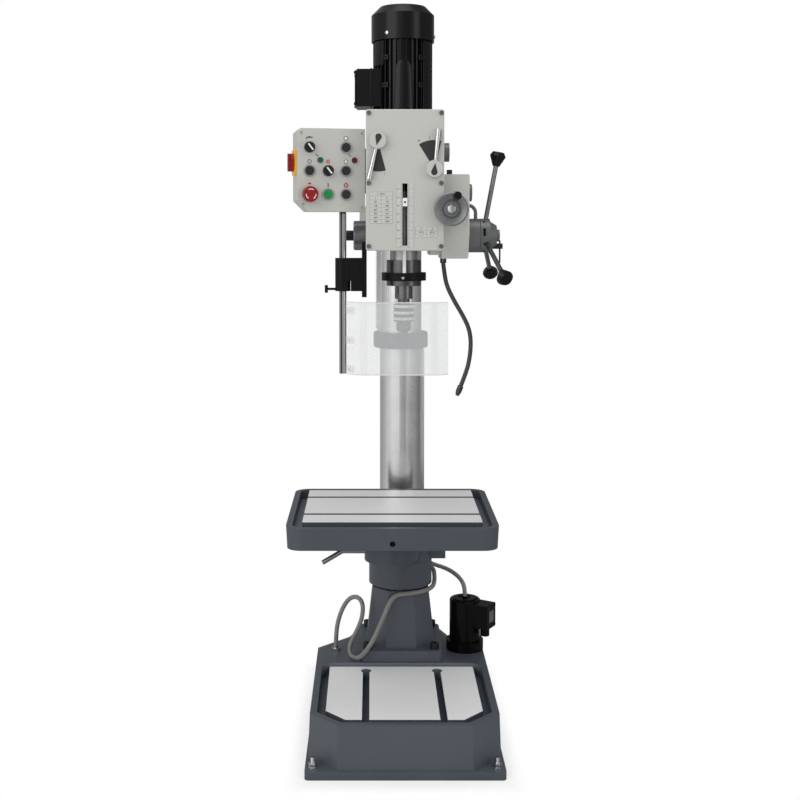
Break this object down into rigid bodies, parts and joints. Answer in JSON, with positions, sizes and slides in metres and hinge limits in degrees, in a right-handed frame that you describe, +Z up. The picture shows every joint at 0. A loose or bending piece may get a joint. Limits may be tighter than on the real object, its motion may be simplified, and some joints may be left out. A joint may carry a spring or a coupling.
{
  "type": "geared drill press",
  "caption": "Floor standing gear head drill press: cast base with coolant tank, round column, rack lifted swinging table, geared head with capstan feed, keyless chuck and clear guard.",
  "frame": {"origin": "the column axis where it meets the floor", "axes": "+Z up along the column, -Y to the front where the operator stands, +X to the operator's right"},
  "size_m": [0.5547, 0.721, 1.885],
  "materials": {
    "stand_paint": "semi-gloss blue grey casting paint",
    "table_paint": "semi-gloss blue grey casting paint with a ground work face",
    "head_paint": "semi-gloss light grey paint",
    "motor_paint": "gloss black paint",
    "ground_steel": "ground and brushed",
    "dark_steel": "black oxide",
    "bright_steel": "bright turned",
    "cast_grey": "bead blasted",
    "spring_steel": "blued strip",
    "black_plastic": "satin black",
    "knob_plastic": "gloss black",
    "red_plastic": "gloss red",
    "green_plastic": "gloss green",
    "yellow_plastic": "gloss yellow",
    "clear_guard": "clear sheet",
    "hose": "matt grey"
  },
  "bodies": {
    "stand": {"base_casting": "stand_paint", "column_foot": "stand_paint", "base_fittings": "dark_steel", "column": "ground_steel", "head_rack": "ground_steel", "column_collar": "stand_paint", "coolant_pump": "motor_paint", "drain_hose": "hose", "pump_hose": "hose"},
    "table_rack": {"table_rack": "ground_steel"},
    "lift_collar": {"lift_collar": "stand_paint"},
    "table_arm": {"table_arm": "stand_paint"},
    "table_lift_shaft": {"table_lift_shaft": "ground_steel"},
    "lock_lever": {"lock_lever": "bright_steel"},
    "table": {"table": "table_paint"},
    "head": {"head_casting": "head_paint", "front_cover": "head_paint", "motor_housing": "motor_paint", "motor_fan_cover": "motor_paint", "spring_housing": "cast_grey", "return_spring": "spring_steel", "feed_box": "head_paint", "hub_drum": "cast_grey", "head_fittings": "dark_steel", "control_box": "head_paint", "control_panel": "head_paint", "isolator_plate": "yellow_plastic", "guard_bracket": "black_plastic", "coolant_nozzle": "dark_steel"},
    "head_lift_shaft": {"head_lift_shaft": "ground_steel"},
    "quill": {"quill": "bright_steel", "depth_ring": "dark_steel", "depth_rod": "bright_steel"},
    "spindle": {"spindle": "dark_steel", "chuck": "bright_steel"},
    "drive_gear": {"drive_gear": "ground_steel"},
    "idler_gear": {"idler_gear": "ground_steel"},
    "motor_rotor": {"motor_rotor": "dark_steel"},
    "feed_shaft": {"feed_shaft": "ground_steel", "capstan_hub": "cast_grey", "capstan_arms": "bright_steel", "capstan_knobs": "knob_plastic"},
    "handwheel": {"handwheel": "bright_steel", "worm_shaft": "ground_steel"},
    "worm_wheel": {"worm_wheel": "cast_grey"},
    "feed_selector": {"feed_selector": "black_plastic"},
    "gear_lever_left": {"gear_lever_left": "bright_steel"},
    "gear_lever_right": {"gear_lever_right": "bright_steel"},
    "estop_button": {"estop_button": "red_plastic"},
    "selector_upper": {"selector_upper": "black_plastic"},
    "selector_lower": {"selector_lower": "black_plastic"},
    "isolator_handle": {"isolator_handle": "red_plastic"},
    "guard_ring": {"guard_ring": "black_plastic"},
    "guard": {"guard_post": "bright_steel", "guard_shield": "clear_guard"},
    "button_top_right": {"button_top_right": "black_plastic"},
    "button_mid_left": {"button_mid_left": "black_plastic"},
    "button_mid_right": {"button_mid_right": "black_plastic"},
    "button_start": {"button_start": "green_plastic"},
    "button_low_right": {"button_low_right": "black_plastic"}
  },
  "joints": [
    {"name": "head_lift", "type": "slide", "parent": "stand", "child": "head", "axis": [0, 0, 1], "range_m": [-0.15, 0.03], "deforming": ["pump_hose"]},
    {"name": "head_lift_turn", "type": "hinge", "parent": "head", "child": "head_lift_shaft", "pos_m": [-0.0857, 0, 1.345], "axis": [0, 1, 0], "range_deg": [-480, 98]},
    {"name": "table_lift", "type": "slide", "parent": "stand", "child": "lift_collar", "axis": [0, 0, 1], "range_m": [0, 0.26], "deforming": ["drain_hose"]},
    {"name": "table_swing", "type": "hinge", "parent": "lift_collar", "child": "table_arm", "pos_m": [0, 0, 0.466], "axis": [0, 0, 1], "range_deg": [-45, 45]},
    {"name": "rack_swing", "type": "hinge", "parent": "stand", "child": "table_rack", "pos_m": [0, 0, 0.466], "axis": [0, 0, 1], "range_deg": [-46, 46]},
    {"name": "table_lift_turn", "type": "hinge", "parent": "table_arm", "child": "table_lift_shaft", "pos_m": [0.0825, 0, 0.44], "axis": [0, 1, 0], "range_deg": [-830, 4]},
    {"name": "lock_turn", "type": "hinge", "parent": "table_arm", "child": "lock_lever", "pos_m": [-0.1, -0.32947, 0.497], "axis": [1, 0, 0], "range_deg": [-60, 60]},
    {"name": "table_turn", "type": "hinge", "parent": "table_arm", "child": "table", "pos_m": [-0.031, -0.31347, 0.541], "axis": [0, 0, 1], "range_deg": [-20, 20]},
    {"name": "quill_feed", "type": "slide", "parent": "head", "child": "quill", "axis": [0, 0, 1], "range_m": [-0.093, 0.023]},
    {"name": "feed_turn", "type": "hinge", "parent": "head", "child": "feed_shaft", "pos_m": [0, -0.2686, 1.295], "axis": [1, 0, 0], "range_deg": [-96, 383]},
    {"name": "motor_spin", "type": "hinge", "parent": "head", "child": "motor_rotor", "pos_m": [0, -0.185, 1.7], "axis": [0, 0, 1], "continuous": true},
    {"name": "idler_spin", "type": "hinge", "parent": "head", "child": "idler_gear", "pos_m": [0.02219, -0.24074, 1.5], "axis": [0, 0, 1], "continuous": true},
    {"name": "drive_spin", "type": "hinge", "parent": "head", "child": "drive_gear", "pos_m": [0, -0.315, 1.5], "axis": [0, 0, 1], "continuous": true},
    {"name": "spindle_spin", "type": "hinge", "parent": "quill", "child": "spindle", "pos_m": [0, -0.315, 1.3], "axis": [0, 0, 1], "continuous": true},
    {"name": "handwheel_turn", "type": "hinge", "parent": "head", "child": "handwheel", "pos_m": [0.111, -0.4, 1.36], "axis": [0, -1, 0], "continuous": true},
    {"name": "worm_wheel_turn", "type": "hinge", "parent": "head", "child": "worm_wheel", "pos_m": [0.111, -0.2686, 1.295], "axis": [1, 0, 0], "continuous": true},
    {"name": "feed_selector_turn", "type": "hinge", "parent": "head", "child": "feed_selector", "pos_m": [0.166, -0.3, 1.403], "axis": [1, 0, 0], "range_deg": [-30, 30]},
    {"name": "gear_lever_left_turn", "type": "hinge", "parent": "head", "child": "gear_lever_left", "pos_m": [-0.066, -0.42, 1.526], "axis": [0, -1, 0], "range_deg": [0, 28]},
    {"name": "gear_lever_right_turn", "type": "hinge", "parent": "head", "child": "gear_lever_right", "pos_m": [0.071, -0.42, 1.457], "axis": [0, -1, 0], "range_deg": [-8, 38]},
    {"name": "press_top_right", "type": "slide", "parent": "head", "child": "button_top_right", "axis": [-0.2079, 0.9781, 0], "range_m": [0, 0.004], "stiffness_N_per_m": 500, "springref_m": -0.002},
    {"name": "press_mid_left", "type": "slide", "parent": "head", "child": "button_mid_left", "axis": [-0.2079, 0.9781, 0], "range_m": [0, 0.004], "stiffness_N_per_m": 500, "springref_m": -0.002},
    {"name": "press_mid_right", "type": "slide", "parent": "head", "child": "button_mid_right", "axis": [-0.2079, 0.9781, 0], "range_m": [0, 0.004], "stiffness_N_per_m": 500, "springref_m": -0.002},
    {"name": "press_start", "type": "slide", "parent": "head", "child": "button_start", "axis": [-0.2079, 0.9781, 0], "range_m": [0, 0.004], "stiffness_N_per_m": 500, "springref_m": -0.002},
    {"name": "press_low_right", "type": "slide", "parent": "head", "child": "button_low_right", "axis": [-0.2079, 0.9781, 0], "range_m": [0, 0.004], "stiffness_N_per_m": 500, "springref_m": -0.002},
    {"name": "press_estop", "type": "slide", "parent": "head", "child": "estop_button", "axis": [-0.2079, 0.9781, 0], "range_m": [0, 0.005], "stiffness_N_per_m": 800, "springref_m": -0.002},
    {"name": "selector_upper_turn", "type": "hinge", "parent": "head", "child": "selector_upper", "pos_m": [-0.23211, -0.39879, 1.511], "axis": [0.2079, -0.9781, 0], "range_deg": [-45, 45]},
    {"name": "selector_lower_turn", "type": "hinge", "parent": "head", "child": "selector_lower", "pos_m": [-0.18722, -0.38925, 1.454], "axis": [0.2079, -0.9781, 0], "range_deg": [-45, 45]},
    {"name": "isolator_turn", "type": "hinge", "parent": "head", "child": "isolator_handle", "pos_m": [-0.26927, -0.36682, 1.475], "axis": [-0.9781, -0.2079, 0], "range_deg": [0, 90]},
    {"name": "guard_swing", "type": "hinge", "parent": "head", "child": "guard_ring", "pos_m": [-0.1525, -0.35, 1.17], "axis": [0, 0, -1], "range_deg": [0, 100]},
    {"name": "guard_height", "type": "slide", "parent": "guard_ring", "child": "guard", "axis": [0, 0, 1], "range_m": [-0.12, 0]}
  ],
  "couplings": [
    {"joint": "head_lift_turn", "follows": "head_lift", "rad_per_m": 55.556},
    {"joint": "table_lift_turn", "follows": "table_lift", "rad_per_m": -55.556},
    {"joint": "rack_swing", "follows": "table_swing", "ratio": 1},
    {"joint": "feed_turn", "follows": "quill_feed", "rad_per_m": -71.429},
    {"joint": "idler_spin", "follows": "motor_spin", "ratio": -0.6},
    {"joint": "drive_spin", "follows": "motor_spin", "ratio": 0.24545},
    {"joint": "spindle_spin", "follows": "motor_spin", "ratio": 0.24545},
    {"joint": "worm_wheel_turn", "follows": "handwheel_turn", "ratio": -0.022222}
  ]
}
